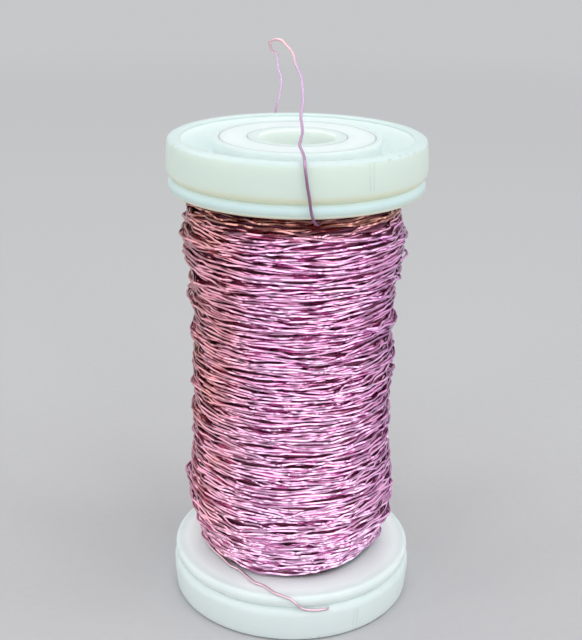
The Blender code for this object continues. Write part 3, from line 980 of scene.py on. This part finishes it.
class Pile:
    """The wound wire so far, as the least radius that the middle of a new strand can have at each place."""

    def __init__(self, depth):
        self.low = WINDING_LOW - WIRE_DIAMETER
        rows = int((WINDING_HIGH - WINDING_LOW + 2 * WIRE_DIAMETER) / ROW_HEIGHT) + 1
        heights = self.low + ROW_HEIGHT * np.arange(rows)
        ground = np.maximum(winding_radius(heights) - depth, BARREL_RADIUS + WIRE_RADIUS)
        around = math.pi - math.tau * np.arange(COLUMNS) / COLUMNS
        self.reach = ground[None, :] - WINDING_LEAN * np.cos(around)[:, None]

    def row(self, z):
        return np.clip(np.rint((z - self.low) / ROW_HEIGHT).astype(int), 0, self.reach.shape[1] - 1)

    def under(self, column, z):
        return self.reach[column, self.row(z)]

    def lay(self, column, z, radius):
        """Raises the pile beside and over a strand that has been laid."""
        span = int(WIRE_DIAMETER / ROW_HEIGHT)
        middle = self.row(z)
        for step in range(-span, span + 1):
            row = np.clip(middle + step, 0, self.reach.shape[1] - 1)
            rise = math.sqrt(max(WIRE_DIAMETER**2 - (step * ROW_HEIGHT) ** 2, 0.0))
            self.reach[column, row] = np.maximum(self.reach[column, row], radius + rise)


def smoothed(values):
    """The values along the strand, blurred as the wire bridges dips."""
    reach = 3 * BRIDGE_SPREAD
    weights = np.exp(-0.5 * (np.arange(-reach, reach + 1) / BRIDGE_SPREAD) ** 2)
    return np.convolve(np.pad(values, reach, mode="edge"), weights / weights.sum(), mode="valid")


def bows(random, along):
    """How far the wire stands off the pile, where a kink has sprung out of its layer. Most bows are low."""
    lift = np.zeros(len(along))
    place = random.uniform(0, BOW_SPACING)
    while place < along[-1]:
        half = random.uniform(*BOW_HALF_LENGTHS)
        height = BOW_LIFT * random.uniform(0.3, 1.0) ** 1.5
        lift = np.maximum(lift, height * np.clip(1 - np.abs(along - place) / half, 0, 1))
        place += random.exponential(BOW_SPACING)
    return lift


def lay_down(pile, column, height, stand_off):
    """Lays a strand on the pile, and returns its radius at each of its places."""
    count = len(column)
    contact = np.zeros(count)
    radius = np.zeros(count)
    for begin in range(0, count, BLOCK):
        behind = max(begin - REACH, 0)
        end = min(begin + BLOCK, count)
        ahead = min(begin + BLOCK + REACH, count)
        contact[begin:ahead] = pile.under(column[begin:ahead], height[begin:ahead])
        settled = smoothed(contact[behind:ahead])[begin - behind : end - behind]
        radius[begin:end] = np.maximum(settled, contact[begin:end] - SINK) + stand_off[begin:end]
        pile.lay(column[begin:end], height[begin:end], radius[begin:end])
    return radius


def wind_layer(pile, random, index):
    """Lays a layer, and returns its course: places along the wire, angles, heights, radii, and the kinks."""
    low, high = layer_turns(index)
    outermost = index == 0
    turns = (high - low) / TURN_PITCH
    if outermost:
        turns = math.floor(turns) + (TURN_START_ANGLE - TURN_END_ANGLE) / 360
    turn = np.arange(round(turns * COLUMNS)) / COLUMNS
    along = turn * math.tau * float(winding_radius(SPOOL_HEIGHT / 2))
    places, sway, lift = kinks(random, along[-1])
    steps = round((180 - TURN_START_ANGLE) / 360 * COLUMNS) + np.arange(len(turn))
    angle = math.pi - math.tau * steps / COLUMNS
    climb = low + (high - low) * turn / turn[-1]
    height = climb if index % 2 == 0 else low + high - climb
    ends = np.clip(np.minimum(turn, turn[-1] - turn), 0, 1)
    shift = shared_wander(random, angle, height) + wander(random, turn, OWN_WAVES_PER_TURN, OWN_WANDER)
    height = height + ends * (shift + np.interp(along, places, sway)) + foot_rise(angle, height)
    height = np.clip(height, WINDING_LOW + WIRE_RADIUS, WINDING_HIGH - WIRE_RADIUS)
    stand_off = ends * np.maximum(np.interp(along, places, lift), -KINK_LIFT)
    if outermost:
        stand_off = stand_off + ends * bows(random, along)
        stand_off += LOOSE_TURN_LIFT * np.exp(-(((turn - LOOSE_TURN_MIDDLE) / LOOSE_TURN_SPREAD) ** 2))
    return along, angle, height, lay_down(pile, steps % COLUMNS, height, stand_off), places


def strand_points(random, along, angle, height, radius, places):
    """The strand's own points, two at each kink, and how far its flattened sides are rolled at each."""
    wanted = np.sort(np.concatenate([places - CORNER, places + CORNER]))
    wanted = np.concatenate([[along[0]], wanted[(wanted > along[0]) & (wanted < along[-1])], [along[-1]]])
    turn = np.interp(wanted, along, angle)
    out = np.interp(wanted, along, radius)
    points = np.stack([out * np.cos(turn), out * np.sin(turn), np.interp(wanted, along, height)], axis=1)
    rolls = STRAND_ROLL * random.uniform(-1, 1, len(places) + 1)
    before, after = (rolls[np.searchsorted(places, wanted + step)] for step in (-CORNER / 2, CORNER / 2))
    return points, (before + after) / 2


def tube_parts(points, rolls):
    """A flat-sided tube's points, its quads, its ends' triangles, and how far each point faces the axis."""
    along = np.diff(points, axis=0)
    along = np.vstack([along[:1], along[1:] + along[:-1], along[-1:]])
    along /= np.linalg.norm(along, axis=1)[:, None]
    side = np.cross(along, (0.0, 0.0, 1.0))
    side /= np.linalg.norm(side, axis=1)[:, None]
    over = np.cross(side, along)
    around = np.arange(STRAND_SIDES)
    following = (around + 1) % STRAND_SIDES
    angles = (FACET_TURN + rolls[:, None] + math.tau * around / STRAND_SIDES)[:, :, None]
    ring = side[:, None] * np.cos(angles) + over[:, None] * np.sin(angles)
    body = (points[:, None] + WIRE_RADIUS * ring).reshape(-1, 3)
    first = np.arange(len(points) - 1)[:, None] * STRAND_SIDES
    beyond = first + STRAND_SIDES
    quads = np.stack([first + around, first + following, beyond + following, beyond + around], axis=2)
    last = len(body) - STRAND_SIDES
    first_cap = np.stack([np.full(STRAND_SIDES, len(body)), following, around], axis=1)
    last_cap = np.stack([np.full(STRAND_SIDES, len(body) + 1), last + around, last + following], axis=1)
    vertices = np.vstack([body, points[:1], points[-1:]])
    return vertices, quads.reshape(-1, 4), np.vstack([first_cap, last_cap]), -np.cos(angles[:, :, 0])


def strand_object(name, points, rolls, tone, depth):
    """A strand with sharp lengthwise edges. It gets the more painted shade the deeper it lies, and at its
    back.
    """
    vertices, quads, caps, outward = tube_parts(points, rolls)
    painted_shade = np.clip(depth + (FREE_FACING - outward) / FREE_FACING, 0, 1)
    attributes = {
        "tone": np.concatenate([np.repeat(tone, STRAND_SIDES), tone[:1], tone[-1:]]),
        "painted_shade": np.concatenate([painted_shade.ravel(), [1.0, 1.0]]),
        "wound": np.ones(len(vertices)),
    }
    mesh = mesh_of(name, vertices, [quads, caps], attributes)
    ends = np.zeros(2 * len(mesh.edges), np.int32)
    mesh.edges.foreach_get("vertices", ends)
    lengthwise = np.abs(np.diff(ends.reshape(-1, 2), axis=1).ravel()) == STRAND_SIDES
    mesh.attributes.new("sharp_edge", "BOOLEAN", "EDGE").data.foreach_set("value", lengthwise)
    return bpy.data.objects.new(name, mesh)


def base_outline():
    """The ribbed base under the drawn layers, which stands for the wire that they hide."""
    outline = []
    for z in np.arange(WINDING_LOW + FIT_GAP, WINDING_HIGH - FIT_GAP, WIRE_DIAMETER / 6):
        rib = WIRE_RADIUS * (abs(math.sin(math.pi * z / TURN_PITCH)) - 0.5)
        surface = float(winding_radius(z))
        radius = max(surface - PILE_DEPTH + WIRE_RADIUS, BARREL_RADIUS + WIRE_DIAMETER) + rib
        outline.append((max(min(radius, surface - WIRE_DIAMETER), BARREL_RADIUS + 1.5 * FIT_GAP), z, INSIDE))
    outline.reverse()
    bore = BARREL_RADIUS + FIT_GAP
    return [*outline, (bore, outline[-1][1], INSIDE), (bore, outline[0][1], INSIDE)]


def wind_wire(material, shaded):
    """All the layers that can be seen, over their base. The deepest only makes the pile uneven."""
    random = np.random.default_rng(WINDING_SEED)
    pile = Pile(PILE_DEPTH)
    for index in reversed(range(LAYERS)):
        course = wind_layer(pile, random, index)
        if index == LAYERS - 1:
            continue
        points, rolls = strand_points(random, *course)
        turns = np.arange(len(points)) / POINTS_PER_TURN
        tone = np.clip(0.5 + 0.5 * wander(random, turns, TONE_WAVES_PER_TURN, TONE_DRIFT), 0, 1)
        obj = strand_object(f"winding_layer_{LAYERS - index}", points, rolls, tone, PAINTED_SHADE_PER_LAYER * index)
        finish_piece(obj, material, ["winding_core", "winding_outer_layer"])
    base = turned("winding_base", base_outline(), shaded, "winding_core")
    points = np.array([vertex.co for vertex in base.data.vertices])
    points[:, 2] += foot_rise(np.arctan2(points[:, 1], points[:, 0]), points[:, 2])
    base.data.vertices.foreach_set("co", points.astype(np.float32).ravel())


# ---------------------------------------------------------------- free wire


def bent_line(route, spacing):
    """Points at a steady spacing on a curve through the route's own points, with fairly sharp bends."""
    route = np.array(route)
    padded = np.vstack([2 * route[0] - route[1], route, 2 * route[-1] - route[-2]])
    slopes = BEND_SOFTNESS * (padded[2:] - padded[:-2])
    fine = []
    for start, end, leave, arrive in zip(route, route[1:], slopes, slopes[1:]):
        for t in np.linspace(0, 1, BEND_STEPS, endpoint=False):
            fine.append(
                (2 * t**3 - 3 * t**2 + 1) * start
                + (t**3 - 2 * t**2 + t) * leave
                + (3 * t**2 - 2 * t**3) * end
                + (t**3 - t**2) * arrive
            )
    fine = np.array(fine + [route[-1]])
    along = np.concatenate([[0], np.cumsum(np.linalg.norm(np.diff(fine, axis=0), axis=1))])
    wanted = np.linspace(0, along[-1], round(along[-1] / spacing) + 1)
    return np.stack([np.interp(wanted, along, fine[:, axis]) for axis in range(3)], axis=1)


def free_wire(name, route, node, material, seed):
    """A free end of the wire, as a curve with its crinkle."""
    random = np.random.default_rng(seed)
    points = bent_line(route, FREE_STEP)
    along = np.arange(len(points)) * FREE_STEP
    places, sway, lift = kinks(random, along[-1])
    ends = np.clip(np.minimum(along, along[-1] - along) / FREE_END, 0, 1)
    points[:, 0] += FREE_SWAY * ends * np.interp(along, places, sway)
    points[:, 2] += FREE_LIFT * ends * np.abs(np.interp(along, places, lift))
    curve = bpy.data.curves.new(name, "CURVE")
    curve.dimensions = "3D"
    curve.bevel_depth = WIRE_RADIUS
    curve.bevel_resolution = 4
    curve.use_fill_caps = True
    spline = curve.splines.new("POLY")
    spline.points.add(len(points) - 1)
    for spot, point in zip(spline.points, points):
        spot.co = (*point, 1.0)
    spline.use_smooth = True
    obj = bpy.data.objects.new(name, curve)
    finish_piece(obj, material, [node])


def build():
    """The stage, the free wire, the spool's body and the winding."""
    make_camera()
    make_studio()
    make_floor()
    wire = wire_material()
    free_wire("lead_wire", LEAD_ROUTE, "wire_lead", wire, seed=3)
    free_wire("tail_wire", TAIL_ROUTE, "wire_tail", wire, seed=5)
    white = plastic("natural_white_plastic", WHITE_SHADE_TINTS, seed=3.0)
    ivory = plastic("ivory_plastic", IVORY_TINTS, seed=8.0)
    flange, hub = flange_outline(), hub_outline()
    turned("flange_lower", flange, white, "lower_flange", parted=True, tints=LOWER_LIT_TINTS)
    turned("flange_upper", flange, white, "upper_flange", upside_down=True, parted=True)
    turned("hub_plate_lower", hub, white, "lower_hub_plate")
    turned("hub_plate_upper", hub, white, "upper_hub_plate", upside_down=True)
    turned("barrel_tube", barrel_outline(), ivory, "barrel")
    turned("spindle_sleeve", spindle_tube_outline(), ivory, "spindle_tube")
    wind_wire(wire, shaded_wire_material())


build()
